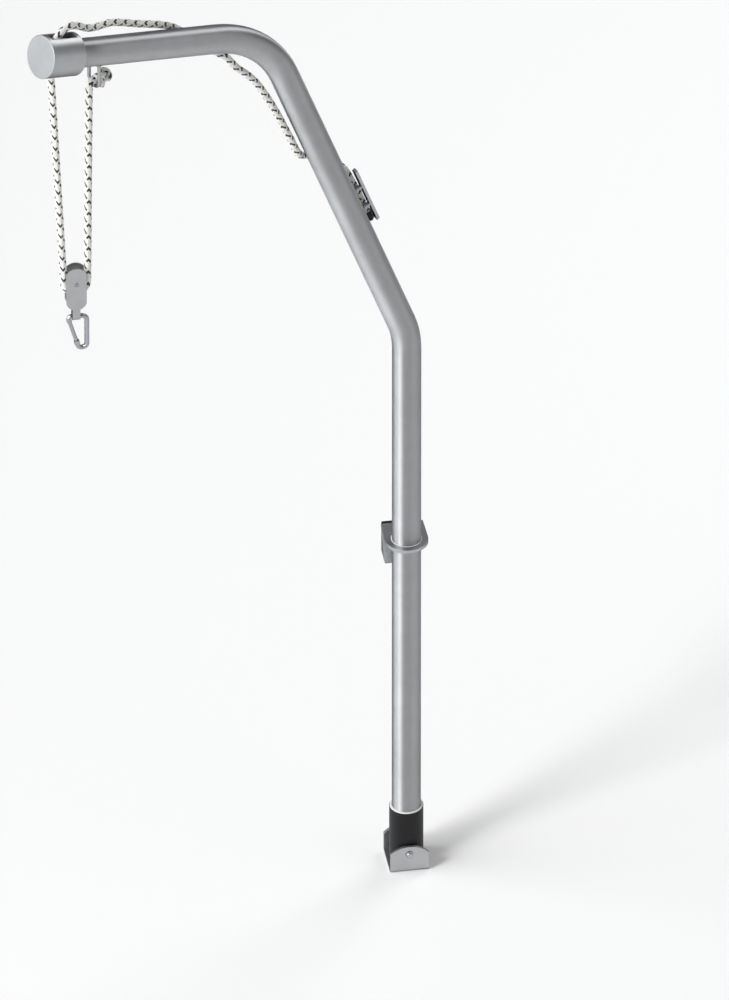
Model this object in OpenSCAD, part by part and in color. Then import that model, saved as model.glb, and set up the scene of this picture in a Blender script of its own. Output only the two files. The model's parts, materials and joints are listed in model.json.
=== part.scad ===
// Folding davit crane for a small boat: a bent tube mast that turns in a hinged socket, steadied
// by a clamped bracket at half height, with a rope and single block at its head.
// Millimetres, +Z up. The origin is where the mast's axis meets the foot bracket's lower face.

/* [Mast] */
// Outside diameter of the mast tube
mast_d = 48.3; // [44:0.1:52]
// Wall of the mast tube
mast_wall = 2.5; // [2:0.1:3]
// Height of the first bend's corner above the base
knee_h = 1064; // [950:1:1200]
// Lean of the sloping run from the vertical, in degrees
slope_lean = 22; // [21:0.5:23]
// Length of the sloping run, corner to corner
slope_len = 762; // [740:1:780]
// Rise of the arm above the level, in degrees
arm_rise = 16.5; // [15:0.5:18]
// Length of the arm, from its corner to the head's face
arm_len = 465; // [450:1:480]
// Centre-line radius of the first bend
knee_r = 150; // [120:5:200]
// Centre-line radius of the second bend
crown_r = 215; // [180:5:240]
// Direction that the arm points in, turned from +X
arm_yaw = 206.5; // [180:0.5:240]

/* [Foot bracket] */
// Width of the bracket along X
foot_w = 65; // [60:1:80]
// Thickness of the bracket's plate
foot_t = 5; // [4:0.5:5]
// Gap between the two lugs
lug_gap = 60; // [59:0.5:66]
// Height of the lugs' shoulders
lug_shoulder = 36; // [32:1:40]
// Height of the lugs' rounded tops
lug_top = 50; // [48:1:56]
// Outside radius of the plate's folds
fold_r = 6; // [5:0.5:8]
// Spacing of the foot screws along X
deck_x = 40; // [34:1:44]
// Spacing of the foot screws along Y
deck_y = 38; // [30:1:40]
// Diameter of the foot screws' holes
deck_hole_d = 6.6; // [5:0.1:8]
// Diameter of the countersinks
deck_sink_d = 12.6; // [10:0.1:14]

/* [Hinge pin] */
// Diameter of the hinge pin
pin_d = 10; // [8:0.5:12]
// Height of the hinge pin's axis above the base
pin_h = 34; // [34:0.5:36]
// Diameter of the pin's head and of its washer
pin_head_d = 14; // [13:0.5:18]
// Thickness of the pin's head
pin_head_t = 3; // [2:0.5:4]
// Thickness of the push-on washer
pin_washer_t = 1.5; // [1:0.1:2]
// Outside diameter of the pivot sleeve in the socket's heel
sleeve_d = 16; // [14:0.5:20]

/* [Socket] */
// Outside diameter of the socket
socket_d = 57; // [56:0.1:58]
// Height of the socket's top edge above the base
socket_top = 112.5; // [100:0.5:130]
// Height of the floor inside the socket
socket_floor = 48; // [46:0.5:54]
// Wall of the socket's liner
liner_wall = 1.75; // [1.5:0.05:2]
// Thickness of the liner's rim
liner_rim_t = 1.5; // [1:0.1:2.5]
// Step from the socket's outside in to the liner's rim
liner_rim_step = 0.7; // [0.4:0.1:1.5]
// Thickness of the disc that the mast stands on
disc_t = 4; // [3:0.5:6]
// Diameter of the disc's centre spigot
disc_spigot_d = 12; // [8:0.5:16]
// Height of the disc's centre spigot
disc_spigot_h = 7; // [5:0.5:9]
// Thickness of the flange of the mast's foot plug
plug_t = 3; // [2:0.5:5]
// Depth of the foot plug inside the tube
plug_depth = 24; // [16:1:30]

/* [Head] */
// Diameter of the head
head_d = 72; // [70:0.5:76]
// Length of the head
head_len = 66; // [64:0.5:70]
// Thickness of the head's front cap
cap_t = 4; // [3:0.5:5]
// Distance of the sheave's axle back from the head's face
sheave_back = 41; // [40:0.5:42]
// Height of the sheave's axle above the arm's axis
sheave_up = 6; // [5:0.5:7]
// Rope's centre-line radius on the head sheave
head_sheave_r = 24; // [23:0.5:25]
// Diameter of the head sheave's axle
head_axle_d = 8; // [6:0.5:10]
// Diameter of the head's two grub screws
grub_d = 6; // [5:0.5:8]

/* [Rope] */
// Diameter of the rope
rope_d = 12; // [11:0.1:12.2]

/* [Rope eye] */
// Diameter of the eye's bar
eye_bar = 6; // [5:0.5:7]
// Inside width of the eye
eye_w = 22; // [19:1:26]
// Depth of the eye below the arm's axis, to the middle of its bar
eye_drop = 65; // [62:1:70]
// Distance of the eye back from the head's face, on the level
eye_back = 105.3; // [99:0.1:111]

/* [Cleat] */
// Length of the cleat's bar
cleat_len = 125; // [110:1:140]
// Width of the cleat's bar
cleat_w = 10; // [8:0.5:12]
// Thickness of the cleat's bar
cleat_t = 5; // [4:0.5:6]
// Gap between the tube and the cleat's bar
cleat_gap = 12.8; // [12.6:0.1:14]
// Diameter of the cleat's two posts
post_d = 8; // [7:0.5:8.5]
// Distance between the posts
post_gap = 44; // [40:1:48]
// Distance of the cleat's middle up the slope from the first bend's corner
cleat_up = 318; // [300:1:330]
// Diameter of the cleat's screws
cleat_screw_d = 4; // [3:0.5:5]

/* [Block] */
// Distance of the block's axle out from the mast's axis
block_r = 665; // [658:1:672]
// Height of the block's axle above the base
block_h = 1434; // [1415:1:1450]
// Direction that the block's gate side faces, turned from +X
block_yaw = 180; // [170:1:206]
// Rope's centre-line radius on the block's sheave
block_sheave_r = 19.5; // [19:0.5:21]
// Width of the two sheaves
sheave_w = 13; // [12.8:0.1:14]
// Diameter of the block's axle
block_axle_d = 5; // [4:0.5:6]
// Width of a cheek
cheek_w = 33.5; // [32:0.5:38]
// Reach of a cheek above the axle
cheek_up = 31.5; // [30:0.5:36]
// Reach of a cheek below the axle
cheek_down = 50; // [46:1:54]
// Thickness of a cheek
cheek_t = 1.5; // [1.2:0.1:2]
// Width of the strap that carries the hook
strap_w = 13; // [11:0.5:13]
// Thickness of the strap
strap_t = 1.5; // [1.2:0.1:2]
// Reach of the strap's straight legs below the cheeks
strap_reach = 15; // [13:0.5:18]
// Diameter of the rivet heads on the axles
rivet_head_d = 7.2; // [7:0.1:9]

/* [Hook] */
// Diameter of the hook's bar
hook_bar = 8; // [7:0.5:8.5]
// Height of the hook, from its top bar's middle to its bottom bar's middle
hook_h = 64; // [62:1:70]
// Reach of the hook's top corner on the gate's side
hook_out = 13.5; // [13:0.5:15]
// Reach of the hook's straight back
hook_back = 18; // [17.5:0.5:21]
// Place of the hook's lower corner on the gate's side, behind the block's axis
hook_toe = 1.5; // [0.5:0.5:2]
// Diameter of the hook's gate
gate_d = 6.4; // [5:0.2:6.6]
// Diameter of the gate's pin
gate_pin_d = 2.5; // [2:0.1:3]

/* [Rail bracket] */
// Height of the bracket's top face above the base
shelf_top = 652; // [620:1:700]
// Thickness of the bracket's plate
shelf_t = 6; // [5:0.5:8]
// Radius of the bracket's rounded front
shelf_r = 36; // [34:0.5:40]
// Width of the bracket at its back edge
shelf_w = 70; // [68:1:74]
// Distance from the mast's axis to the back face of the leg
leg_back = 47.8; // [46:0.2:52]
// Length of the leg, from the bracket's top face
leg_len = 77; // [76:1:84]
// Width of the leg at its lower end
leg_w = 62; // [60:1:68]
// Wall of the bush in the bracket's hole
bush_wall = 1.8; // [1.5:0.1:3]
// Bore of the clamp, the diameter of the level tube that it grips
rail_d = 30; // [25:0.5:32]
// Height of the clamp's bore above the base
rail_h = 600; // [596:1:612]
// Length of the clamp along its bore
clamp_w = 56; // [52:1:60]
// Height of the clamp
clamp_h = 58; // [56:1:60]
// Wall of the clamp behind its bore, at its thinnest
clamp_wall = 5; // [4:0.5:8]
// Diameter of the clamp's four screws
clamp_screw_d = 5; // [4:0.5:5]

/* [Fits] */
// Radial clearance of running fits
run_fit = 0.08; // [0.05:0.01:0.1]
// Radial clearance of fixed pieces
fixed_fit = 0.03; // [0.02:0.01:0.05]
// Gap beside pieces that turn
side_gap = 0.3; // [0.2:0.05:0.4]

/* [Hidden] */
$fn = 64;

steel = "gainsboro";
bright = "silver";
black_plastic = "dimgray";
white_plastic = "ivory";
rope_white = "white";

tiny = 0.02;
mast_r = mast_d / 2;
tube_bore_r = mast_r - mast_wall;
rope_r = rope_d / 2;

// Corners of the mast's centre line, as [reach, height] in the arm's plane
knee = [0, knee_h];
crown = knee + slope_len * [sin(slope_lean), cos(slope_lean)];
tip = crown + arm_len * [cos(arm_rise), sin(arm_rise)];

// Foot and socket
socket_r = socket_d / 2;
foot_depth = lug_gap + 2 * foot_t;
liner_bore_r = mast_r + run_fit;
liner_r = liner_bore_r + liner_wall;
disc_r = mast_r - side_gap / 2;
disc_top = socket_floor + disc_t;
mast_foot = disc_top + plug_t;
sleeve_len = lug_gap - 2 * side_gap;

// Head: the sheave in its slot, and the hole below that the rope leaves by
sheave_bush_wall = 3;
flange_step = 2.5;
spacer_t = 1.8;
tube_slot_w = sheave_w + 2 * (spacer_t + side_gap);
head_flange_r = head_sheave_r - flange_step;
head_slot_rear = sheave_back + head_flange_r + 1;
slot_wall = 4;
rope_hole_r = rope_r + 2.5;
rope_hole_rear = sheave_back - rope_r + 3.5;
axle_inset = 0.5;
head_axle_len = 2 * (sqrt(pow(mast_r, 2) - pow(sheave_up + head_axle_d / 2, 2)) - axle_inset);
grub_in = 8;
grub_key_r = 1.75;
grub_key_depth = 3;

// Block, from its middle plane outward
strap_in = sheave_w / 2 + side_gap;
cheek_in = strap_in + strap_t;
cheek_out = cheek_in + cheek_t;
block_flange_r = block_sheave_r - flange_step;
cheek_top_rise = 11;
cheek_low_rise = 14;
strap_top = 9;
strap_bend_z = -(cheek_down + strap_reach);
hook_bar_z = strap_bend_z - strap_in + hook_bar / 2 + side_gap;

// Rope eye: the place of its bar, and the rope's turn over it
eye_out = tip.x - eye_back;
eye_h = tip.y - (tip.x - eye_out) * tan(arm_rise) - eye_drop;
turn_r = rope_r + eye_bar / 2 + 1;

// Falls: where they hang from, and the gap at each of their ends
hang_out = 712;
hang_h = 1866;
knot_out = eye_out + turn_r;
knot_h = eye_h + eye_bar / 2 + side_gap + rope_r - turn_r;
fall_gap = 0.7;

// Points of the hook's bar beside its top bar, as [reach, height] from the block's axle
hook_low = hook_bar_z - hook_h;
hook_top_r = 9;
hook_low_r = 8;
hook_toe_r = 5.5;
hook_nose_r = 5.5;
gate_rise = 12;
gate_lean = atan2(hook_out + hook_toe, hook_h - gate_rise);

// Rail clamp, with screws that end in blind holes in the leg
leg_skin = 1.5;
rail_gap = 4;
rail_back = leg_back + rail_gap + rail_d / 2;
clamp_rear_y = rail_back + rail_d / 2 + clamp_wall;
clamp_split = 1;
clamp_screw_in = 8;
clamp_screw_x = clamp_w / 2 - clamp_screw_in;
clamp_screw_gap = 2;
clamp_screw_z = rail_d / 2 + clamp_screw_d / 2 + clamp_screw_gap;
screw_head_r = 5;
screw_head_t = 4;
screw_key_r = 2.9;
screw_key_depth = 2.5;

// The rope from the head's lower hole, over the sheave, along the mast and through the cleat,
// as [reach, sideways, height] in the arm's plane
ROPE_ROUTE = [
    [712, 0, 1866], [714, 0, 1882], [715, 0, 1898], [712, 0, 1912], [704, 0, 1923],
    [694, -1, 1931], [682, -3, 1936], [667, -6, 1935], [650, -9, 1926], [632, -13, 1913],
    [614, -16, 1905], [596, -18, 1902], [578, -20, 1898], [556, -21, 1889], [533, -21, 1878],
    [508, -21, 1867], [484, -22, 1856], [462, -26, 1843], [442, -30, 1828], [424, -32, 1810],
    [406, -32, 1791], [389, -28, 1773], [371, -20, 1759], [352, -14, 1743], [335, -12, 1719],
    [316, -11, 1699], [298, -11, 1677], [281, -11, 1649], [266, -11, 1621], [252, -11, 1592],
    [239, -11, 1563], [226, -11, 1534], [214, -13, 1507], [199, -20, 1486], [179, -29, 1474],
    [159, -32, 1463], [140, -29, 1451], [125, -21, 1440], [114, -14, 1426], [107, -11, 1410],
    [100, -11, 1395], [93, -11, 1380], [87, -11, 1365], [81, -11, 1350], [75, -11, 1335],
    [69, -11, 1321], [66, -11, 1314]
];

// Frames
module arm_plane() { rotate([0, 0, arm_yaw]) children(); }

// Z runs up the slope from the first bend's corner, and -X points away from the load
module on_slope() {
    arm_plane() translate([knee.x, 0, knee.y]) rotate([0, slope_lean, 0]) children();
}

// X runs along the arm and out of the head's face
module at_head() {
    arm_plane() translate([tip.x, 0, tip.y]) rotate([0, -arm_rise, 0]) children();
}

// Points of the arm's plane, from their reach and height
function in_arm_plane(p) = [p.x * cos(arm_yaw), p.x * sin(arm_yaw), p.y];

// The middle of the block's axle, with X toward the hook's gate and Y toward the block's front
block_middle = in_arm_plane([block_r, block_h]);

module at_block() { translate(block_middle) rotate([0, 0, block_yaw]) children(); }

// The rope's ends on the block's sheave, on the gate's side at 1 and on the other at -1
function block_rope_end(side) =
    block_middle + side * block_sheave_r * [cos(block_yaw), sin(block_yaw), 0];

// Shapes along Y, and between two points
module rod_y(r, len) { rotate([90, 0, 0]) cylinder(r = r, h = len, center = true); }

module slab_y(depth) { rotate([90, 0, 0]) linear_extrude(depth, center = true) children(); }

module ring_section(r_out, r_in) {
    difference() {
        circle(r_out);
        if (r_in > 0) circle(r_in);
    }
}

// A bar or tube bent through corner points in the XZ plane, turning clockwise seen from the front.
// Each stretch is placed from the end of the one before it. A corner's wall stands proud by a
// hair, and the straight stretches run a little way into it, so that they join as one solid.
join_lap = 0.1;
join_step = 0.02;

function heading(a, b) = atan2(b.x - a.x, b.y - a.y);
function turn_at(p, i) = (heading(p[i], p[i + 1]) - heading(p[i - 1], p[i]) + 360) % 360;
function cut_back(p, r, i) =
    i == 0 || i == len(p) - 1 ? 0 : r[i - 1] * tan(turn_at(p, i) / 2);

module swept_corner(r, turn) {
    translate([r, 0, 0])
        mirror([1, 0, 0])
            rotate([90, 0, 0])
                rotate_extrude(angle = turn)
                    translate([r, 0])
                        children();
}

module bent_run(p, r, r_out, r_in = 0) {
    translate([p[0].x, 0, p[0].y])
        rotate([0, heading(p[0], p[1]), 0])
            bent_stretch(p, r, r_out, r_in, 0);
}

module bent_stretch(p, r, r_out, r_in, i) {
    run = norm(p[i + 1] - p[i]) - cut_back(p, r, i) - cut_back(p, r, i + 1);
    low = i == 0 ? 0 : join_lap;
    high = i == len(p) - 2 ? 0 : join_lap;
    translate([0, 0, -low]) linear_extrude(run + low + high) ring_section(r_out, r_in);
    if (i < len(p) - 2) {
        turn = turn_at(p, i + 1);
        translate([0, 0, run]) {
            swept_corner(r[i], turn)
                ring_section(r_out + join_step, r_in > 0 ? r_in - join_step : 0);
            translate([r[i], 0, 0])
                rotate([0, turn, 0])
                    translate([-r[i], 0, 0])
                        bent_stretch(p, r, r_out, r_in, i + 1);
        }
    }
}

// A rope swept through a route's points, with one ring at each point
function unit(v) = v / norm(v);
function tangent(p, i) =
    unit(p[min(i + 1, len(p) - 1)] - p[max(i - 1, 0)]);
// Sides of a ring are set out from the Y axis, which no stretch of the route follows
function ring_at(p, i, r, n) =
    let (t = tangent(p, i), u = unit(cross(t, [0, 1, 0])), v = cross(t, u))
    [for (k = [0 : n - 1]) p[i] + r * (cos(360 * k / n) * u + sin(360 * k / n) * v)];

module swept_rope(p, r, n = 10) {
    m = len(p);
    points = [for (i = [0 : m - 1]) each ring_at(p, i, r, n)];
    sides = [for (i = [0 : m - 2], k = [0 : n - 1])
        each [[i * n + k, i * n + (k + 1) % n, (i + 1) * n + (k + 1) % n],
              [i * n + k, (i + 1) * n + (k + 1) % n, (i + 1) * n + k]]];
    ends = concat(
        [for (k = [1 : n - 2]) [0, k + 1, k]],
        [for (k = [1 : n - 2]) [(m - 1) * n, (m - 1) * n + k, (m - 1) * n + k + 1]]);
    polyhedron(points, concat(sides, ends));
}

// A sheave with a round groove, about the Y axis
module sheave(centre_r, flange_r, bore_r) {
    rotate([90, 0, 0])
        rotate_extrude()
            difference() {
                translate([bore_r, -sheave_w / 2]) square([flange_r - bore_r, sheave_w]);
                translate([centre_r, 0]) circle(rope_r + side_gap);
            }
}

// Foot bracket: one plate folded into a channel with two lugs
lug_rise = lug_top - lug_shoulder;
lug_arc_r = (pow(foot_w / 2, 2) + pow(lug_rise, 2)) / (2 * lug_rise);

module lug_outline() {
    translate([-foot_w / 2, 0]) square([foot_w, lug_shoulder]);
    intersection() {
        translate([0, lug_top - lug_arc_r]) circle(lug_arc_r, $fn = 180);
        translate([-foot_w / 2, lug_shoulder - 1]) square([foot_w, lug_rise + 2]);
    }
}

module folded_block(w, r, h) {
    translate([-w / 2, r]) square([w, h - r]);
    translate([-w / 2 + r, 0]) square([w - 2 * r, r + 1]);
    for (s = [-1, 1]) translate([s * (w / 2 - r), r]) circle(r);
}

module channel_section() {
    difference() {
        folded_block(foot_depth, fold_r, lug_top + 1);
        translate([0, foot_t]) folded_block(lug_gap, fold_r - foot_t + tiny, lug_top + 2);
    }
}

module foot_bracket() color(steel) difference() {
    intersection() {
        slab_y(foot_depth + 2) lug_outline();
        rotate([90, 0, 90]) linear_extrude(foot_w + 2, center = true) channel_section();
    }
    translate([0, 0, pin_h]) rod_y(pin_d / 2 + fixed_fit, foot_depth + 4);
    for (x = [-1, 1], y = [-1, 1]) translate([x * deck_x / 2, y * deck_y / 2, 0]) {
        translate([0, 0, -1]) cylinder(d = deck_hole_d, h = foot_t + 2);
        translate([0, 0, foot_t - (deck_sink_d - deck_hole_d) / 2])
            cylinder(d1 = deck_hole_d, d2 = deck_sink_d + 0.2, h = (deck_sink_d - deck_hole_d) / 2 + 0.1);
    }
}

pin_end_out = 1.5;
pin_end_bevel = 0.8;
pin_head_round = 0.8;
pin_front = foot_depth / 2 + pin_washer_t + pin_end_out;

module hinge_pin() color(bright) translate([0, 0, pin_h]) rotate([90, 0, 0]) {
    translate([0, 0, -foot_depth / 2])
        cylinder(d = pin_d, h = foot_depth / 2 + pin_front - pin_end_bevel);
    translate([0, 0, pin_front - pin_end_bevel])
        cylinder(d1 = pin_d, d2 = pin_d - 2 * pin_end_bevel, h = pin_end_bevel);
    translate([0, 0, -foot_depth / 2 - pin_head_t])
        rotate_extrude() {
            square([pin_head_d / 2 - pin_head_round, pin_head_t]);
            translate([0, pin_head_round]) square([pin_head_d / 2, pin_head_t - pin_head_round]);
            translate([pin_head_d / 2 - pin_head_round, pin_head_round]) circle(pin_head_round);
        }
}

module pin_washer() color(bright)
    translate([0, -foot_depth / 2 - pin_washer_t / 2, pin_h])
        difference() {
            rod_y(pin_head_d / 2, pin_washer_t);
            rod_y(pin_d / 2 + fixed_fit, pin_washer_t + 2);
        }

// Socket: a round cup on a solid heel, square at the back to stop it upright
module heel_outline() {
    translate([-socket_r - 1, pin_h - socket_r]) square([socket_r + 1, socket_top]);
    translate([0, pin_h]) circle(socket_r);
    translate([-1, pin_h]) square([socket_r + 2, socket_top]);
}

module socket_body() color(black_plastic) difference() {
    intersection() {
        translate([0, 0, pin_h - socket_r]) cylinder(r = socket_r, h = socket_top + socket_r - pin_h);
        slab_y(socket_d + 2) heel_outline();
    }
    translate([0, 0, socket_floor]) cylinder(r = liner_r + fixed_fit, h = socket_top);
    translate([0, 0, pin_h]) rod_y(sleeve_d / 2 + fixed_fit, socket_d + 4);
}

module socket_liner() color(white_plastic) difference() {
    union() {
        translate([0, 0, socket_floor]) cylinder(r = liner_r, h = socket_top - socket_floor);
        translate([0, 0, socket_top]) cylinder(r = socket_r - liner_rim_step, h = liner_rim_t);
    }
    translate([0, 0, socket_floor - 1])
        cylinder(r = liner_bore_r, h = socket_top + liner_rim_t);
}

module pivot_sleeve() color(bright) translate([0, 0, pin_h]) difference() {
    rod_y(sleeve_d / 2, sleeve_len);
    rod_y(pin_d / 2 + run_fit, sleeve_len + 2);
}

module thrust_disc() color(white_plastic) {
    translate([0, 0, socket_floor]) cylinder(r = disc_r, h = disc_t);
    translate([0, 0, disc_top - 1]) cylinder(d = disc_spigot_d, h = disc_spigot_h + 1);
}

// Mast: one tube with two bends, slotted at its head for the sheave
module tube_slots() {
    slot_front = head_len;
    translate([-head_slot_rear, -tube_slot_w / 2, 0]) cube([slot_front, tube_slot_w, mast_d]);
    translate([-rope_hole_rear, -rope_hole_r, -mast_d]) cube([slot_front, 2 * rope_hole_r, mast_d]);
    translate([-sheave_back, 0, sheave_up]) rod_y(head_axle_d / 2 + fixed_fit, mast_d + 2);
}

module mast_tube() color(steel) difference() {
    arm_plane()
        bent_run([[0, mast_foot], knee, crown, tip - cap_t * [cos(arm_rise), sin(arm_rise)]],
                 [knee_r, crown_r], mast_r, tube_bore_r);
    at_head() tube_slots();
    at_head() grub_holes(mast_wall);
    on_slope() cleat_screw_holes();
}

module foot_plug() color(black_plastic) difference() {
    union() {
        translate([0, 0, disc_top]) cylinder(r = mast_r - side_gap / 2, h = plug_t);
        translate([0, 0, mast_foot - 1]) cylinder(r = tube_bore_r - fixed_fit, h = plug_depth + 1);
    }
    translate([0, 0, disc_top - 1])
        cylinder(r = disc_spigot_d / 2 + run_fit, h = disc_spigot_h + 1 + side_gap);
}

// Head: a thick sleeve round the tube's slotted end, closed by a cap
grub_back = head_len - grub_in;
grub_turn = 35;

module grub_places() {
    for (s = [-1, 1]) translate([-grub_back, 0, 0]) rotate([180 + s * grub_turn, 0, 0]) children();
}

module grub_holes(extra) {
    grub_places() translate([0, 0, mast_r - extra - 1]) cylinder(r = grub_d / 2 + fixed_fit, h = head_d);
}

module head_sleeve() color(steel) at_head() difference() {
    translate([-head_len, 0, 0]) rotate([0, 90, 0]) rotate_extrude() {
        translate([mast_r + fixed_fit, 0]) square([head_d / 2 - mast_r - fixed_fit, head_len - cap_t]);
    }
    translate([-head_slot_rear + slot_wall, -tube_slot_w / 2, 0])
        cube([head_slot_rear - cap_t - 2 * slot_wall, tube_slot_w, head_d]);
    translate([-rope_hole_rear, -rope_hole_r, -head_d])
        cube([rope_hole_rear - cap_t - slot_wall, 2 * rope_hole_r, head_d]);
    grub_holes(mast_wall);
}

module head_cap() color(steel) at_head() {
    translate([-cap_t, 0, 0]) rotate([0, 90, 0]) rotate_extrude() {
        square([head_d / 2 - 1, cap_t]);
        square([head_d / 2, cap_t - 1]);
        translate([head_d / 2 - 1, cap_t - 1]) circle(1);
    }
}

module head_axle() color(bright) at_head()
    translate([-sheave_back, 0, sheave_up]) rod_y(head_axle_d / 2, head_axle_len);

module head_spacers() color(bright) at_head() translate([-sheave_back, 0, sheave_up])
    for (s = [-1, 1]) translate([0, s * (tube_slot_w - spacer_t) / 2, 0]) difference() {
        rod_y(head_axle_d / 2 + sheave_bush_wall, spacer_t);
        rod_y(head_axle_d / 2 + fixed_fit, spacer_t + 2);
    }

module head_screws() color(bright) at_head() grub_places() difference() {
    grub_top = head_d / 2 - 2;
    translate([0, 0, mast_r - mast_wall / 2])
        cylinder(d = grub_d, h = grub_top - mast_r + mast_wall / 2);
    translate([0, 0, grub_top - grub_key_depth])
        cylinder(r = grub_key_r, h = grub_key_depth + 1, $fn = 6);
}

module head_sheave() color(white_plastic) at_head() translate([-sheave_back, 0, sheave_up])
    sheave(head_sheave_r, head_flange_r, head_axle_d / 2 + sheave_bush_wall);

module head_sheave_bush() color("peru") at_head() translate([-sheave_back, 0, sheave_up])
    difference() {
        rod_y(head_axle_d / 2 + sheave_bush_wall - fixed_fit, sheave_w);
        rod_y(head_axle_d / 2 + run_fit, sheave_w + 2);
    }

// Rope eye: a bar bent to a loop and welded under the arm
module rope_eye() color(bright) {
    half = (eye_w + eye_bar) / 2;
    difference() {
        arm_plane() translate([eye_out, 0, eye_h]) rotate([0, 0, 90])
            bent_run([[half, eye_drop], [half, 0], [-half, 0], [-half, eye_drop]],
                     [half - 1, half - 1], eye_bar / 2);
        at_head() translate([-arm_len / 2, 0, 0]) rotate([0, 90, 0])
            cylinder(r = mast_r + tiny, h = arm_len / 2);
    }
}

// Cleat: a bar on two posts, with its horns along the slope. The posts' threaded holes end
// just under the bar.
cleat_under = mast_r + cleat_gap;
cleat_hole_end = cleat_under - 1;

module cleat_screw_holes() {
    for (s = [-1, 1]) translate([0, 0, cleat_up + s * post_gap / 2]) rotate([0, -90, 0])
        cylinder(r = cleat_screw_d / 2 + fixed_fit, h = mast_d);
}

module cleat() color(bright) on_slope() {
    difference() {
        union() {
            translate([-cleat_under - cleat_t / 2, 0, cleat_up]) rotate([0, 90, 0])
                linear_extrude(cleat_t, center = true) {
                    square([cleat_len - cleat_w, cleat_w], center = true);
                    for (s = [-1, 1]) translate([s * (cleat_len - cleat_w) / 2, 0]) circle(d = cleat_w);
                }
            for (s = [-1, 1]) translate([0, 0, cleat_up + s * post_gap / 2]) rotate([0, -90, 0])
                cylinder(d = post_d, h = cleat_under + 1);
        }
        translate([0, 0, cleat_up - cleat_len]) cylinder(r = mast_r + tiny, h = 2 * cleat_len);
        for (s = [-1, 1]) translate([0, 0, cleat_up + s * post_gap / 2]) rotate([0, -90, 0])
            cylinder(r = cleat_screw_d / 2 + fixed_fit, h = cleat_hole_end);
    }
}

// The screws' heads stand a little clear of the bore's curve, and their tips clear of the
// holes' ends
cleat_head_gap = 0.6;
cleat_tip_gap = 1;
cleat_head_t = 3.4;
cleat_head_d = cleat_screw_d + 3;
cleat_screw_low = tube_bore_r - cleat_head_gap - cleat_head_t;

module cleat_screws() color(bright) on_slope()
    for (s = [-1, 1]) translate([0, 0, cleat_up + s * post_gap / 2])
        rotate([0, -90, 0]) translate([0, 0, cleat_screw_low]) {
            cylinder(d = cleat_screw_d, h = cleat_hole_end - cleat_tip_gap - cleat_screw_low);
            cylinder(d = cleat_head_d, h = cleat_head_t);
        }

// Rope
module rope_lead() color(rope_white) arm_plane() swept_rope(ROPE_ROUTE, rope_r);

module rope_between(a, b) {
    run = b - a;
    translate(a)
        rotate([0, acos(run.z / norm(run)), atan2(run.y, run.x)])
            translate([0, 0, fall_gap])
                cylinder(r = rope_r, h = norm(run) - 2 * fall_gap);
}

module rope_fall_hauling() color(rope_white)
    rope_between(in_arm_plane([hang_out, hang_h]), block_rope_end(1));

module rope_fall_standing() color(rope_white)
    rope_between(in_arm_plane([knot_out, knot_h]), block_rope_end(-1));

module rope_bight() color(rope_white) at_block()
    rotate([90, 0, 0])
        rotate([0, 0, 180])
            rotate_extrude(angle = 180)
                translate([block_sheave_r, 0])
                    circle(rope_r);

// Stopper knot on the mast's side of the eye, with the turn that brings the rope over its bar
knot_r = 15;
knot_back = 16;
knot_lift = sqrt(pow(knot_r + eye_bar / 2 + side_gap, 2) - pow(knot_back, 2));

module rope_knot() color(rope_white) arm_plane() {
    translate([eye_out, 0, knot_h])
        rotate([90, 0, 0])
            rotate_extrude(angle = 150)
                translate([turn_r, 0])
                    circle(rope_r);
    translate([eye_out - knot_back, 0, eye_h + knot_lift]) sphere(knot_r);
}

// Block
function arch_r(rise) = (pow(cheek_w / 2, 2) + pow(rise, 2)) / (2 * rise);

module cheek_outline() {
    top_r = arch_r(cheek_top_rise);
    low_r = arch_r(cheek_low_rise);
    translate([-cheek_w / 2, cheek_low_rise - cheek_down])
        square([cheek_w, cheek_up - cheek_top_rise + cheek_down - cheek_low_rise]);
    intersection() {
        translate([-cheek_w / 2, -cheek_down]) square([cheek_w, cheek_up + cheek_down]);
        union() {
            translate([0, cheek_up - top_r]) circle(top_r);
            translate([0, low_r - cheek_down]) circle(low_r);
        }
    }
}

module cheek(side) {
    at_block() translate([0, side * (cheek_in + cheek_t / 2), 0]) difference() {
        slab_y(cheek_t) cheek_outline();
        rod_y(block_axle_d / 2 + fixed_fit, cheek_t + 2);
    }
}

module block_cheek_front() color(steel) cheek(1);

module block_cheek_rear() color(steel) cheek(-1);

module block_strap() color(bright) at_block() difference() {
    rotate([90, 0, 90]) linear_extrude(strap_w, center = true) {
        for (s = [-1, 1]) translate([s * (strap_in + strap_t / 2) - strap_t / 2, strap_bend_z])
            square([strap_t, strap_top - strap_bend_z]);
        intersection() {
            translate([0, strap_bend_z]) ring_section(strap_in + strap_t, strap_in);
            translate([-2 * strap_in, strap_bend_z - 2 * strap_in]) square([4 * strap_in, 2 * strap_in]);
        }
    }
    rod_y(block_axle_d / 2 + fixed_fit, 3 * cheek_out);
}

rivet_head_t = 1;

module block_axle() color(bright) at_block() {
    rod_y(block_axle_d / 2, 2 * cheek_out);
    for (s = [-1, 1]) translate([0, s * (cheek_out + rivet_head_t / 2), 0])
        rod_y(rivet_head_d / 2, rivet_head_t);
}

module block_sheave() color(white_plastic) at_block()
    sheave(block_sheave_r, block_flange_r, block_axle_d / 2 + sheave_bush_wall);

module block_sheave_bush() color("peru") at_block() difference() {
    rod_y(block_axle_d / 2 + sheave_bush_wall - fixed_fit, sheave_w);
    rod_y(block_axle_d / 2 + run_fit, sheave_w + 2);
}

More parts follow.
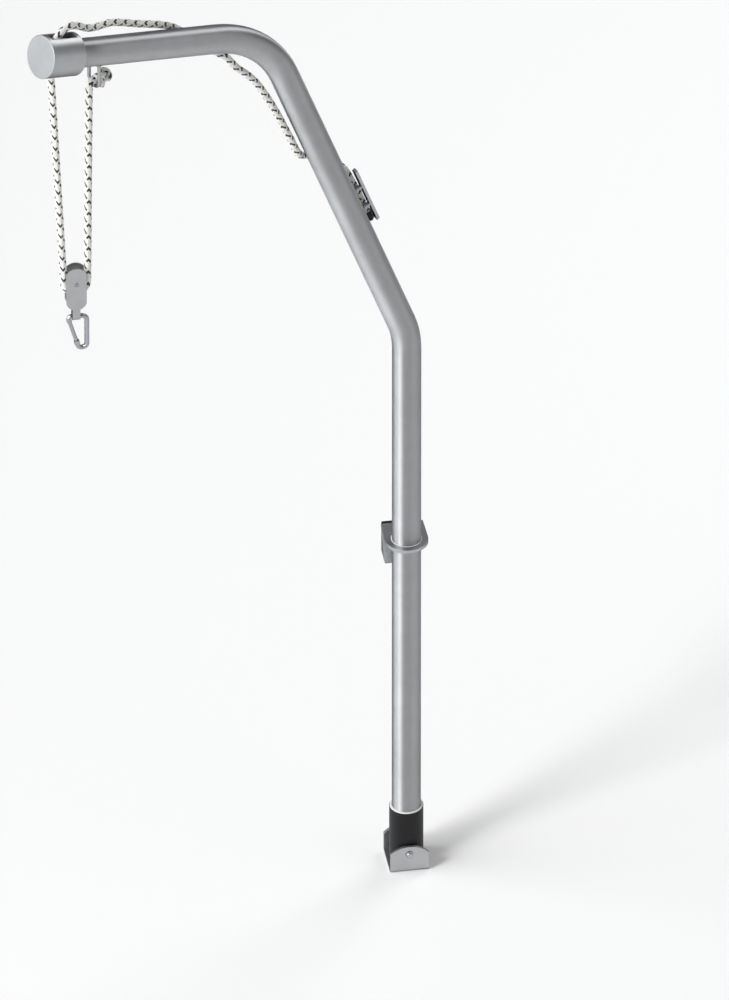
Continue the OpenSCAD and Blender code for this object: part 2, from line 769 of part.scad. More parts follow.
// Snap hook: an open loop of bar, closed on its leaning side by a gate
gate_pivot = [-hook_toe, hook_low + gate_rise];
gate_tip_gap = 0.4;
gate_len = 42;
toe_run = 10;
fork_gap = 3;
fork_out = 0.6;
fork_r = hook_bar / 2 + fork_out;
fork_w = hook_bar + fork_out;
gate_start = fork_r + 0.6;
tongue_step = 0.4;

function gate_point(d) = gate_pivot + d * [sin(gate_lean), cos(gate_lean)];

module hook_frame() color(bright) at_block() difference() {
    union() {
        bent_run([gate_pivot, gate_point(-toe_run), [-hook_back, hook_low], [-hook_back, hook_bar_z],
                  [hook_out, hook_bar_z], gate_point(gate_len + gate_tip_gap)],
                 [hook_toe_r, hook_low_r, hook_top_r, hook_nose_r], hook_bar / 2);
        translate([gate_pivot.x, 0, gate_pivot.y]) rod_y(fork_r, fork_w);
    }
    translate([gate_pivot.x, 0, gate_pivot.y]) {
        rod_y(gate_pin_d / 2 + fixed_fit, 2 * hook_bar);
        rotate([0, gate_lean, 0]) translate([-fork_r - 1, -fork_gap / 2, -fork_r - 0.4])
            cube([2 * fork_r + 2, fork_gap, 2 * fork_r + 4]);
    }
}

module hook_gate() color(steel) at_block()
    translate([gate_pivot.x, 0, gate_pivot.y]) rotate([0, gate_lean, 0]) difference() {
    union() {
        translate([0, 0, gate_start]) cylinder(d = gate_d, h = gate_len - gate_start);
        rod_y(fork_r - 1, fork_gap - 2 * side_gap);
        translate([-gate_d / 2 + tongue_step, -fork_gap / 2 + side_gap, 0])
            cube([gate_d - 2 * tongue_step, fork_gap - 2 * side_gap, fork_r + 2]);
    }
    rod_y(gate_pin_d / 2 + run_fit, 2 * hook_bar);
}

module gate_pin() color(bright) at_block()
    translate([gate_pivot.x, 0, gate_pivot.y]) rod_y(gate_pin_d / 2, fork_w);

// Rail bracket: a plate folded into a shelf round the mast and a leg in front of the clamp
module shelf_outline() {
    circle(shelf_r);
    polygon([[-shelf_r, 0], [-shelf_w / 2, leg_back], [shelf_w / 2, leg_back], [shelf_r, 0]]);
}

module leg_outline() {
    low = shelf_top - leg_len;
    corner_r = 8;
    polygon([[-leg_w / 2, low + corner_r], [-shelf_w / 2, shelf_top], [shelf_w / 2, shelf_top],
             [leg_w / 2, low + corner_r]]);
    translate([-leg_w / 2 + corner_r, low]) square([leg_w - 2 * corner_r, corner_r + 1]);
    for (s = [-1, 1]) translate([s * (leg_w / 2 - corner_r), low + corner_r]) circle(corner_r);
}

module rail_plate() color(steel) difference() {
    union() {
        translate([0, 0, shelf_top - shelf_t]) linear_extrude(shelf_t) shelf_outline();
        translate([0, leg_back - shelf_t / 2, 0]) slab_y(shelf_t) leg_outline();
    }
    translate([0, 0, shelf_top - shelf_t - 1])
        cylinder(r = mast_r + run_fit + bush_wall + fixed_fit, h = shelf_t + 2);
    clamp_screw_holes();
}

bush_flange_t = 2;
bush_flange_out = 5;

module rail_bush() color(white_plastic) translate([0, 0, shelf_top - shelf_t - bush_flange_t])
    difference() {
        union() {
            cylinder(r = mast_r + run_fit + bush_wall, h = shelf_t + bush_flange_t);
            cylinder(r = mast_r + bush_wall + bush_flange_out, h = bush_flange_t);
        }
        translate([0, 0, -1]) cylinder(r = mast_r + run_fit, h = shelf_t + bush_flange_t + 2);
    }

module clamp_screw_holes() {
    for (x = [-1, 1], z = [-1, 1])
        translate([x * clamp_screw_x, leg_back - shelf_t + leg_skin, rail_h + z * clamp_screw_z])
            rotate([-90, 0, 0]) cylinder(r = clamp_screw_d / 2 + fixed_fit, h = 4 * rail_d);
}

module clamp_half(y0, y1) {
    difference() {
        translate([-clamp_w / 2, y0, rail_h - clamp_h / 2]) cube([clamp_w, y1 - y0, clamp_h]);
        translate([0, rail_back, rail_h]) rotate([0, 90, 0])
            cylinder(d = rail_d, h = clamp_w + 2, center = true);
        clamp_screw_holes();
    }
}

module clamp_front() color(black_plastic) clamp_half(leg_back, rail_back - clamp_split / 2);

module clamp_rear() color(black_plastic) clamp_half(rail_back + clamp_split / 2, clamp_rear_y);

module clamp_screws() color(bright)
    for (x = [-1, 1], z = [-1, 1]) translate([x * clamp_screw_x, 0, rail_h + z * clamp_screw_z])
        rotate([-90, 0, 0]) difference() {
            union() {
                translate([0, 0, leg_back - shelf_t + leg_skin])
                    cylinder(d = clamp_screw_d, h = clamp_rear_y - leg_back + shelf_t - leg_skin);
                translate([0, 0, clamp_rear_y]) cylinder(r = screw_head_r, h = screw_head_t);
            }
            translate([0, 0, clamp_rear_y + screw_head_t - screw_key_depth])
                cylinder(r = screw_key_r, h = screw_key_depth + 1, $fn = 6);
        }

foot_bracket();
hinge_pin();
pin_washer();
socket_body();
socket_liner();
pivot_sleeve();
thrust_disc();
mast_tube();
foot_plug();
head_sleeve();
head_cap();
head_axle();
head_spacers();
head_screws();
head_sheave();
head_sheave_bush();
rope_eye();
cleat();
cleat_screws();
rope_lead();
rope_knot();
rope_fall_hauling();
rope_fall_standing();
rope_bight();
block_cheek_front();
block_cheek_rear();
block_strap();
block_axle();
block_sheave();
block_sheave_bush();
hook_frame();
hook_gate();
gate_pin();
rail_plate();
rail_bush();
clamp_front();
clamp_rear();
clamp_screws();
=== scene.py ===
import json
import math

import bpy
import numpy as np
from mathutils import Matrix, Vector


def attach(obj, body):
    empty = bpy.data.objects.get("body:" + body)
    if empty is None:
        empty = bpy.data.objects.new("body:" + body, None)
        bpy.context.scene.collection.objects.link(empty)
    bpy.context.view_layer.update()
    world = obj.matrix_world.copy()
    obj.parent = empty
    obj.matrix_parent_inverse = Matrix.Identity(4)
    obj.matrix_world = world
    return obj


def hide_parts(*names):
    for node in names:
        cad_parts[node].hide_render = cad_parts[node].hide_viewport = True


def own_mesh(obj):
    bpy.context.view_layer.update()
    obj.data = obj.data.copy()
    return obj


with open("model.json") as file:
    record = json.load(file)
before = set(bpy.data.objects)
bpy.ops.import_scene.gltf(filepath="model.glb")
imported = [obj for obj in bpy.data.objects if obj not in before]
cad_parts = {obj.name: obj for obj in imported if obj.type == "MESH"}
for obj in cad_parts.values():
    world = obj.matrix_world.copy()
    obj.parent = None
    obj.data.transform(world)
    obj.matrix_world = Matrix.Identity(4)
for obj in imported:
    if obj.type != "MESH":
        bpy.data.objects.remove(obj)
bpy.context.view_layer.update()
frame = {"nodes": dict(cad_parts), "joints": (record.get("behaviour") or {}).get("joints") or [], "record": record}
nodes = frame["nodes"]
joints = {joint["name"]: joint for joint in frame["joints"]}

# The davit's looks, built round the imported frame, in metres

# The arm's plane: reach out from the mast's axis, sideways toward the viewer, and height
ARM_YAW = math.radians(206.5)
REACH = Vector((math.cos(ARM_YAW), math.sin(ARM_YAW), 0))
SIDE = Vector((-math.sin(ARM_YAW), math.cos(ARM_YAW), 0))
UP = Vector((0, 0, 1))

# The mast's tube: its radius, its leans from the upright, and the heights where each bend
# starts and ends
MAST_R = 0.02415
SLOPE_LEAN = math.radians(22)
ARM_LEAN = math.radians(73.5)
KNEE_BEND = (1.035, 1.091)
CROWN_BEND = (1.674, 1.800)


def arm_point(reach, side, height):
    return reach * REACH + side * SIDE + height * UP


def leaning(angle):
    """The direction in the arm's plane that leans so far out from the upright."""
    return math.sin(angle) * REACH + math.cos(angle) * UP


# Camera: its height angle and side angle, its lens in millimetres, and its place from the
# middle of the base, as away, sideways and up in the picture
ELEVATION = math.radians(34.962)
AZIMUTH = math.radians(9.302)
LENS = 1200.0
CAMERA_AWAY = 55.381
CAMERA_SIDE = -0.06931
CAMERA_UP = 0.59726


def make_camera():
    """A long lens, so that the view is nearly parallel, as in a drawing."""
    right = Vector((math.cos(AZIMUTH), -math.sin(AZIMUTH), 0))
    forward = Vector((math.sin(AZIMUTH) * math.cos(ELEVATION),
                      math.cos(AZIMUTH) * math.cos(ELEVATION),
                      -math.sin(ELEVATION)))
    up = right.cross(forward)
    data = bpy.data.cameras.new("camera")
    data.lens = LENS
    data.clip_start = 1.0
    data.clip_end = 200.0
    camera = bpy.data.objects.new("camera", data)
    camera.location = CAMERA_SIDE * right + CAMERA_UP * up - CAMERA_AWAY * forward
    camera.rotation_mode = "QUATERNION"
    camera.rotation_quaternion = forward.to_track_quat("-Z", "Y")
    bpy.context.scene.collection.objects.link(camera)
    bpy.context.scene.camera = camera


make_camera()

# Rope sizes
ROPE_R = 0.006
LAY = 0.045             # length in which a strand goes once round the rope
STRANDS = 8             # strands each way round
OVER = 2                # strands that each strand passes over, and then under
CROWN = 0.00015         # height of the braid's crowns above the rope's radius
GROOVE = 0.0010         # depth of the grooves below the crowns
STRAND_CURVE = 1.85     # how strongly a strand curves across its width
STRAND_DIP = 0.6        # how far it sinks where it goes under another
YARNS = 5               # yarns in a strand
END_FILL = 0.985        # share of a half ball at each end of a rope
ROPE_STEP = 0.0007      # distance between rings
ROPE_SIDES = 56

# The rope's route from the head's lower hole to the cleat, as reach, sideways and height
ROPE_ROUTE = [
    (0.712, 0, 1.866), (0.714, 0, 1.882), (0.715, 0, 1.898), (0.712, 0, 1.912),
    (0.704, 0, 1.923), (0.694, -0.001, 1.931), (0.682, -0.003, 1.936), (0.667, -0.006, 1.935),
    (0.650, -0.009, 1.926), (0.632, -0.013, 1.913), (0.614, -0.016, 1.905), (0.596, -0.018, 1.902),
    (0.578, -0.020, 1.898), (0.556, -0.021, 1.889), (0.533, -0.021, 1.878), (0.508, -0.021, 1.867),
    (0.484, -0.022, 1.856), (0.462, -0.026, 1.843), (0.442, -0.030, 1.828), (0.424, -0.032, 1.810),
    (0.406, -0.032, 1.791), (0.389, -0.028, 1.773), (0.371, -0.020, 1.759), (0.352, -0.014, 1.743),
    (0.335, -0.012, 1.719), (0.316, -0.011, 1.699), (0.298, -0.011, 1.677), (0.281, -0.011, 1.649),
    (0.266, -0.011, 1.621), (0.252, -0.011, 1.592), (0.239, -0.011, 1.563), (0.226, -0.011, 1.534),
    (0.214, -0.013, 1.507), (0.199, -0.020, 1.486), (0.179, -0.029, 1.474), (0.159, -0.032, 1.463),
    (0.140, -0.029, 1.451), (0.125, -0.021, 1.440), (0.114, -0.014, 1.426), (0.107, -0.011, 1.410),
    (0.100, -0.011, 1.395), (0.093, -0.011, 1.380), (0.087, -0.011, 1.365), (0.081, -0.011, 1.350),
    (0.075, -0.011, 1.335), (0.069, -0.011, 1.321), (0.066, -0.011, 1.314),
]
SHEAVE_ROPE_R = 0.0195  # rope's centre-line radius on the block's sheave
TURN_R = 0.010          # radius of the rope's turn over the eye's bar
TURN_ANGLE = 150        # how far it goes round, in degrees
KNOT_PLACE = (0.610, 0, 1.8153)     # the knot's middle, as reach, sideways and height
KNOT_ROPE_R = 0.0052    # the rope's radius where the knot squeezes it
KNOT_SIZE = 0.0040      # the knot's scale
KNOT_DEPTH = 1.45       # how far its strands cross sideways, on that scale
KNOT_POINTS = 240
KNOT_TAIL = [(0, 0, 0), (-0.004, -0.006, -0.004), (-0.007, -0.0095, -0.007)]    # from its middle
WHIPPING_R = 0.0065     # the thread wound round the rope's end
WHIPPING_LENGTH = 0.020
WHIPPING_TURNS = 14
WHIPPING_RIPPLE = 0.00018
WHIPPING_SIDES = 32

hang_point = arm_point(*ROPE_ROUTE[0])
knot_point = Vector(joints["load_swing"]["pos_m"])
block_point = Vector(joints["block_sheave_turn"]["pos_m"])
BLOCK_FRONT = Vector(joints["block_sheave_turn"]["axis"])
BLOCK_OUT = BLOCK_FRONT.cross(UP)       # toward the hook's gate


# Lines and tubes
def even_line(points, step):
    """The same line with its points an even step apart."""
    points = np.array([tuple(p) for p in points], float)
    lengths = np.linalg.norm(np.diff(points, axis=0), axis=1)
    along = np.concatenate([[0], np.cumsum(lengths)])
    count = max(2, int(round(along[-1] / step)) + 1)
    at = np.linspace(0, along[-1], count)
    return np.stack([np.interp(at, along, points[:, k]) for k in range(3)], axis=1)


def smooth_line(points, step, fine=24):
    """A smooth line through the points (Catmull-Rom), in even steps."""
    p = np.array([tuple(q) for q in points], float)
    p = np.vstack([2 * p[0] - p[1], p, 2 * p[-1] - p[-2]])
    t = np.linspace(0, 1, fine, endpoint=False)[:, None]
    pieces = []
    for a, b, c, d in zip(p[:-3], p[1:-2], p[2:-1], p[3:]):
        pieces.append(0.5 * (2 * b + (c - a) * t + (2 * a - 5 * b + 4 * c - d) * t ** 2
                             + (3 * b - a - 3 * c + d) * t ** 3))
    pieces.append(p[-2:-1])
    return even_line(np.vstack(pieces), step)


def arc_line(centre, radius, start, end, step, out=REACH):
    """An arc in the upright plane of out, whose angles are measured from out toward up."""
    count = max(3, int(abs(math.radians(end - start)) * radius / step) + 1)
    angles = [math.radians(a) for a in np.linspace(start, end, count)]
    return np.array([tuple(centre + radius * (math.cos(a) * out + math.sin(a) * UP))
                     for a in angles])


def line_length(line):
    return float(np.linalg.norm(np.diff(line, axis=0), axis=1).sum())


def line_frames(line, first=SIDE):
    """Two unit vectors across the line at each point, carried along it without twist."""
    tangents = np.gradient(line, axis=0)
    tangents /= np.linalg.norm(tangents, axis=1)[:, None]
    across = np.zeros_like(line)
    vector = np.array(first, float)
    for i, tangent in enumerate(tangents):
        vector = vector - tangent * vector.dot(tangent)
        vector /= np.linalg.norm(vector)
        across[i] = vector
    return across, np.cross(tangents, across)


def round_ends(line, radius, step):
    """The line with a stretch added at each end, and each ring's share of the full radius."""
    reach = radius * END_FILL
    offsets = np.append(np.arange(step, reach, step), reach)
    first = (line[0] - line[1]) / np.linalg.norm(line[0] - line[1])
    last = (line[-1] - line[-2]) / np.linalg.norm(line[-1] - line[-2])
    start = line[0] + offsets[::-1, None] * first
    end = line[-1] + offsets[:, None] * last
    share = np.sqrt(1 - (offsets / radius) ** 2)
    return np.vstack([start, line, end]), np.concatenate([share[::-1], np.ones(len(line)), share])


def make_tube(name, line, radii, along, first=SIDE, closed=False):
    """A mesh tube whose rings have the given radii (rings x sides), with u once round it and
    v from along. It comes back with the vector across its last ring."""
    rings, sides = radii.shape
    across, side = line_frames(line, first)
    turn = np.arange(sides) / sides
    cos, sin = np.cos(2 * np.pi * turn), np.sin(2 * np.pi * turn)
    co = (line[:, None, :] + radii[:, :, None]
          * (across[:, None, :] * cos[None, :, None] + side[:, None, :] * sin[None, :, None]))
    spans = rings if closed else rings - 1
    i = np.repeat(np.arange(spans), sides)
    k = np.tile(np.arange(sides), spans)
    j, l = (i + 1) % rings, (k + 1) % sides
    quads = np.stack([i * sides + k, i * sides + l, j * sides + l, j * sides + k], axis=1)
    faces = [tuple(q) for q in quads.tolist()]
    if not closed:
        faces.append(tuple(reversed(range(sides))))
        faces.append(tuple(range((rings - 1) * sides, rings * sides)))
    mesh = bpy.data.meshes.new(name)
    mesh.from_pydata(co.reshape(-1, 3).tolist(), [], faces)
    u = np.stack([k, k + 1, k + 1, k], axis=1) / sides
    v = np.stack([along[i], along[i], along[j], along[j]], axis=1)
    coords = np.zeros((sum(len(f) for f in faces), 2))
    coords[:len(quads) * 4] = np.stack([u, v], axis=2).reshape(-1, 2)
    mesh.uv_layers.new(name="rope").data.foreach_set("uv", coords.ravel())
    mesh.polygons.foreach_set("use_smooth", [True] * len(faces))
    mesh.update()
    piece = bpy.data.objects.new(name, mesh)
    bpy.context.scene.collection.objects.link(piece)
    return piece, across[-1]


def braid_height(around, along):
    """Height of a braid's surface, 0 in its grooves and 1 on its crowns.
    around counts turns round the rope and along counts lays."""
    a, b = STRANDS * (around - along), STRANDS * (around + along)
    i, j = np.floor(a), np.floor(b)
    cell = (i + j) % (2 * OVER)
    first_on_top = cell < OVER
    across = np.where(first_on_top, a - i, b - j) - 0.5
    run = np.where(first_on_top, cell + b - j, cell - OVER + a - i) / OVER
    crown = np.sqrt(np.maximum(0, 1 - (STRAND_CURVE * across) ** 2))
    return crown * (1 - STRAND_DIP * np.abs(2 * run - 1) ** 3)


def make_rope(name, line, start=0.0, first=SIDE, radius=ROPE_R, ends=True, closed=False):
    """A braided rope along a line. start is the length of rope that comes before it."""
    share = np.ones(len(line))
    if ends:
        line, share = round_ends(line, radius, ROPE_STEP)
    lengths = np.linalg.norm(np.diff(line, axis=0), axis=1)
    along = (start + np.concatenate([[0], np.cumsum(lengths)])) / LAY
    around = np.arange(ROPE_SIDES) / ROPE_SIDES
    height = braid_height(around[None, :], along[:, None])
    scale = radius / ROPE_R
    radii = share[:, None] * (radius + scale * (CROWN - GROOVE * (1 - height)))
    return make_tube(name, line, radii, along, first, closed)


# Materials. A noise's scale is in waves per metre.
STEEL_COLOR = (0.48, 0.49, 0.50)
SMALL_COLOR = (0.44, 0.45, 0.47)
WELD_COLOR = (0.36, 0.35, 0.34)
RIVET_COLOR = (0.50, 0.51, 0.52)
BRONZE_COLOR = (0.62, 0.43, 0.22)
GLANCING_TINT = (0.05, 0.05, 0.06)      # steel's tint where it is seen at a low angle
DULL = 0.88                             # how dark steel's duller clouds are
TUBE_STRETCH = 0.9                      # how far the tube's highlights are drawn out
PLATE_LINES = 700.0
TUBE_LINES = 900.0
LINE_HEIGHT = 0.00003
CLOUDS = 7.0
SMUDGES = 45.0
ROUGH_LINES = 0.14                      # how far the lines, clouds and smudges roughen steel
ROUGH_CLOUDS = 0.10
ROUGH_SMUDGES = 0.06
ROUGH_START = 0.12                      # how far below its stated roughness that begins
SHADE_MARK_R = 0.004                          # radius over which the axle's dark centre dot and ring of painted groove shade spread
# colour of the axle's dark centre dot and of its ring of painted shade, which stands for a rim groove
SHADE_MARK_COLOR = (0.02, 0.02, 0.02)
NYLON_BLACK = (0.006, 0.006, 0.007)
BLACK_SCUFF = (0.04, 0.04, 0.04)
NYLON_WHITE = (0.82, 0.82, 0.79)
WHITE_SCUFF = (0.68, 0.67, 0.64)
NYLON_GRAIN = 1400.0
NYLON_CLOUDS = 30.0
NYLON_SCUFFS = 130.0
GRAIN_HEIGHT = 0.00004
ROPE_WHITE = (0.86, 0.85, 0.81)
ROPE_SHADE = (0.66, 0.65, 0.60)
FUZZ = 2600.0
STAINS = 40.0
YARN_HEIGHT = 0.00012


def new_material(name, color, roughness, metallic=0.0):
    material = bpy.data.materials.new(name)
    material.use_nodes = True
    shader = material.node_tree.nodes["Principled BSDF"]
    shader.inputs["Base Color"].default_value = (*color, 1)
    shader.inputs["Roughness"].default_value = roughness
    shader.inputs["Metallic"].default_value = metallic
    return material, shader


def add(material, kind, settings=None, **inputs):
    """A node with its settings, whose named inputs are linked or set."""
    node = material.node_tree.nodes.new(kind)
    for key, value in (settings or {}).items():
        setattr(node, key, value)
    for key, value in inputs.items():
        fill(material, node, key.replace("_", " "), value)
    return node


def fill(material, node, socket, value):
    target = node.inputs[socket]
    if isinstance(value, bpy.types.NodeSocket):
        material.node_tree.links.new(value, target)
    else:
        target.default_value = value


def calc(material, operation, first, second=0.5, third=0.5):
    node = add(material, "ShaderNodeMath", {"operation": operation})
    for index, value in enumerate((first, second, third)[:len(node.inputs)]):
        fill(material, node, index, value)
    return node.outputs[0]


def vector_calc(material, operation, *values, scale=None):
    node = add(material, "ShaderNodeVectorMath", {"operation": operation})
    for index, value in enumerate(values):
        fill(material, node, index, value)
    if scale is not None:
        fill(material, node, "Scale", scale)
    return node.outputs["Value" if operation == "DOT_PRODUCT" else "Vector"]


def ramp(material, value, *stops):
    """A colour ramp of (place, colour or level) stops."""
    node = add(material, "ShaderNodeValToRGB", Fac=value)
    elements = node.color_ramp.elements
    for index, (place, color) in enumerate(stops):
        element = elements[index] if index < 2 else elements.new(place)
        element.position = place
        level = (color, color, color) if isinstance(color, (int, float)) else color
        element.color = (*level, 1)
    return node.outputs["Color"]


def mix_colors(material, share, first, second):
    node = add(material, "ShaderNodeMix", {"data_type": "RGBA"})
    fill(material, node, 0, share)
    fill(material, node, 6, first)
    fill(material, node, 7, second)
    return node.outputs[2]


def noise(material, vector, scale, detail=3.0, roughness=0.5):
    node = add(material, "ShaderNodeTexNoise", Scale=scale, Detail=detail, Roughness=roughness)
    fill(material, node, "Vector", vector)
    return node.outputs["Fac"]


def ramped(material, value, low, high, top, rise="LINEAR"):
    """0 below low and top above high, with a rise between."""
    node = add(material, "ShaderNodeMapRange", {"interpolation_type": rise}, Value=value)
    for socket, number in (("From Min", low), ("From Max", high), ("To Min", 0), ("To Max", top)):
        fill(material, node, socket, number)
    return node.outputs["Result"]


def object_place(material):
    return add(material, "ShaderNodeTexCoord").outputs["Object"]


def tube_axis(material, place):
    """The direction of the mast's centre line beside a place, from its height."""
    height = add(material, "ShaderNodeSeparateXYZ", Vector=place).outputs["Z"]
    lean = calc(material, "ADD", ramped(material, height, *KNEE_BEND, SLOPE_LEAN),
                ramped(material, height, *CROWN_BEND, ARM_LEAN - SLOPE_LEAN))
    out = vector_calc(material, "SCALE", tuple(REACH), scale=calc(material, "SINE", lean))
    up = vector_calc(material, "SCALE", tuple(UP), scale=calc(material, "COSINE", lean))
    return vector_calc(material, "ADD", out, up)


def soften_edges(material, radius):
    """A normal that rounds sharp edges off."""
    bevel = add(material, "ShaderNodeBevel", {"samples": 4}, Radius=radius)
    return bevel.outputs["Normal"]


def bump(material, shader, height, distance, strength, edge):
    node = add(material, "ShaderNodeBump", Strength=strength, Distance=distance, Height=height)
    fill(material, node, "Normal", soften_edges(material, edge))
    fill(material, shader, "Normal", node.outputs["Normal"])


def steel(name, color, roughness, grain, along=None, edge=0.0006):
    """Satin steel. grain stretches its fine polishing lines, and along is the way of a tube,
    round which the lines run, so that its highlights are drawn out along it."""
    material, shader = new_material(name, color, roughness, 1.0)
    shader.inputs["Specular Tint"].default_value = (*GLANCING_TINT, 1)
    place = object_place(material)
    if along is None:
        lines = vector_calc(material, "MULTIPLY", place, grain)
        fine = noise(material, lines, PLATE_LINES, 2.0)
    else:
        axis = along(material, place)
        distance = vector_calc(material, "DOT_PRODUCT", place, axis)
        lines = vector_calc(material, "MULTIPLY_ADD", place, grain,
                            vector_calc(material, "SCALE", axis, scale=distance))
        fine = noise(material, lines, TUBE_LINES, 2.0)
        shader.inputs["Anisotropic"].default_value = TUBE_STRETCH
        turned = add(material, "ShaderNodeVectorTransform",
                     {"vector_type": "VECTOR", "convert_from": "OBJECT", "convert_to": "WORLD"},
                     Vector=axis)
        fill(material, shader, "Tangent", turned.outputs["Vector"])
    cloud = noise(material, place, CLOUDS, 4.0)
    smudge = noise(material, place, SMUDGES, 4.0, 0.6)
    rough = calc(material, "MULTIPLY_ADD", fine, ROUGH_LINES, roughness - ROUGH_START)
    rough = calc(material, "MULTIPLY_ADD", cloud, ROUGH_CLOUDS, rough)
    rough = calc(material, "MULTIPLY_ADD", smudge, ROUGH_SMUDGES, rough)
    fill(material, shader, "Roughness", rough)
    tone = calc(material, "MULTIPLY_ADD", smudge, 0.4, calc(material, "MULTIPLY", cloud, 0.6))
    dull = tuple(DULL * c for c in color)
    fill(material, shader, "Base Color", ramp(material, tone, (0.36, dull), (0.62, color)))
    bump(material, shader, fine, LINE_HEIGHT, 0.5, edge)
    return material


def rivet_steel():
    """Small bright steel round the block's axle, with a dark centre dot and a dark ring of painted shade standing
    for a groove round the rivet head's rim.
    """
    material = steel("steel_rivet", RIVET_COLOR, 0.26, (1, 1, 1), edge=0.0003)
    shader = material.node_tree.nodes["Principled BSDF"]
    offset = vector_calc(material, "SUBTRACT", object_place(material), tuple(block_point))
    flat = vector_calc(material, "MULTIPLY", offset, tuple(1 - abs(c) for c in BLOCK_FRONT))
    length = add(material, "ShaderNodeVectorMath", {"operation": "LENGTH"})
    fill(material, length, 0, flat)
    radius = calc(material, "MULTIPLY", length.outputs["Value"], 1 / SHADE_MARK_R)
    # a dark centre dot, then a dark ring of painted shade standing for a groove round the rivet head's rim
    shade_marks = ramp(material, radius, (0.0, 0.05), (0.15, 0.05), (0.20, 1.0), (0.50, 1.0), (0.60, 0.08),
                 (0.74, 0.08), (0.84, 1.0))
    color = mix_colors(material, shade_marks, (*SHADE_MARK_COLOR, 1), (*RIVET_COLOR, 1))
    fill(material, shader, "Base Color", color)
    return material


def nylon(name, color, pale, roughness=0.40, gloss=0.5):
    """Moulded plastic with a fine grain and slight scuffs."""
    material, shader = new_material(name, color, roughness)
    shader.inputs["Specular IOR Level"].default_value = gloss
    place = object_place(material)
    grain = noise(material, place, NYLON_GRAIN, 2.0)
    cloud = noise(material, place, NYLON_CLOUDS, 5.0)
    patches = noise(material, place, NYLON_SCUFFS, 6.0, 0.7)
    scuff = ramp(material, patches, (0.60, 0.0), (0.74, 1.0))
    share = calc(material, "MULTIPLY", scuff, 0.3)
    fill(material, shader, "Base Color", mix_colors(material, share, (*color, 1), (*pale, 1)))
    fill(material, shader, "Roughness", calc(material, "MULTIPLY_ADD", cloud, 0.2, roughness - 0.08))
    bump(material, shader, grain, GRAIN_HEIGHT, 0.6, 0.0008)
    return material


def braided_rope():
    """White rope with black tracer strands, on the mesh's own braid."""
    material, shader = new_material("rope_braid", ROPE_WHITE, 0.75)
    shader.inputs["Sheen Weight"].default_value = 0.25
    shader.inputs["Sheen Roughness"].default_value = 0.5
    uv = add(material, "ShaderNodeUVMap", {"uv_map": "rope"}).outputs["UV"]
    split = add(material, "ShaderNodeSeparateXYZ", Vector=uv)
    around, along = split.outputs["X"], split.outputs["Y"]
    a = calc(material, "MULTIPLY", calc(material, "SUBTRACT", around, along), STRANDS)
    b = calc(material, "MULTIPLY", calc(material, "ADD", around, along), STRANDS)
    i, j = calc(material, "FLOOR", a), calc(material, "FLOOR", b)
    cell = calc(material, "FLOORED_MODULO", calc(material, "ADD", i, j), 2 * OVER)
    on_top = calc(material, "LESS_THAN", cell, OVER)
    below = calc(material, "SUBTRACT", 1.0, on_top)

    def chosen(first, second):
        return calc(material, "ADD", calc(material, "MULTIPLY", first, on_top),
                    calc(material, "MULTIPLY", second, below))

    strand = chosen(i, j)
    across = chosen(calc(material, "SUBTRACT", a, i), calc(material, "SUBTRACT", b, j))
    number = calc(material, "FLOORED_MODULO", strand, STRANDS / 2)
    tracer = calc(material, "LESS_THAN", number, 0.5)
    yarn = calc(material, "SINE", calc(material, "MULTIPLY", across, 2 * math.pi * YARNS))
    place = object_place(material)
    fuzz = noise(material, place, FUZZ, 3.0)
    stain = noise(material, place, STAINS, 4.0)
    tone = calc(material, "MULTIPLY_ADD", fuzz, 0.5, calc(material, "MULTIPLY", stain, 0.5))
    white = ramp(material, tone, (0.3, ROPE_SHADE), (0.62, ROPE_WHITE))
    black = ramp(material, fuzz, (0.3, 0.008), (0.8, 0.035))
    fill(material, shader, "Base Color", mix_colors(material, tracer, white, black))
    height = calc(material, "MULTIPLY_ADD", yarn, 0.5, fuzz)
    bump(material, shader, height, YARN_HEIGHT, 0.6, 0.0002)
    return material


tube_steel = steel("steel_tube", STEEL_COLOR, 0.43, (12, 12, 12), tube_axis)
plate_steel = steel("steel_plate", STEEL_COLOR, 0.38, (0.06, 1, 1))
small_steel = steel("steel_small", SMALL_COLOR, 0.24, (1, 1, 1), edge=0.0003)
weld_steel = steel("steel_weld", WELD_COLOR, 0.40, (1, 1, 1), edge=0.0002)
black_nylon = nylon("nylon_black", NYLON_BLACK, BLACK_SCUFF, 0.45, 0.25)
white_nylon = nylon("nylon_white", NYLON_WHITE, WHITE_SCUFF)
bronze = steel("bronze", BRONZE_COLOR, 0.35, (1, 1, 1))
rope_braid = braided_rope()
NODE_MATERIALS = {"block_axle": rivet_steel()}

SLOT_MATERIALS = {
    "steel_tube": tube_steel,
    "steel_fittings": plate_steel,
    "steel_small": small_steel,
    "nylon_black": black_nylon,
    "nylon_white": white_nylon,
    "bronze_bush": bronze,
    "rope": rope_braid,
}


def dress_cad_nodes():
    """Gives each CAD node its own material or that of its slot."""
    for row in frame["record"]["subparts"]:
        piece = nodes[row["node"]]
        piece.data.materials.clear()
        material = NODE_MATERIALS.get(row["node"]) or SLOT_MATERIALS[row["material_slot"]]
        piece.data.materials.append(material)


def finish_piece(piece, body, slot, *replaced, material=None):
    piece.data.materials.append(material or SLOT_MATERIALS[slot])
    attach(piece, body)
    if replaced:
        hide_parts(*replaced)
    return piece


def knot_line():
    """A closed overhand knot (a trefoil) round the sideways direction."""
    t = np.linspace(0, 2 * np.pi, KNOT_POINTS, endpoint=False)
    out = np.sin(t) + 2 * np.sin(2 * t)
    up = np.cos(t) - 2 * np.cos(2 * t)
    side = -np.sin(3 * t) * KNOT_DEPTH
    middle = np.array(arm_point(*KNOT_PLACE))
    axes = np.array([tuple(REACH), tuple(UP), tuple(SIDE)])
    return middle + KNOT_SIZE * np.stack([out, up, side], axis=1) @ axes


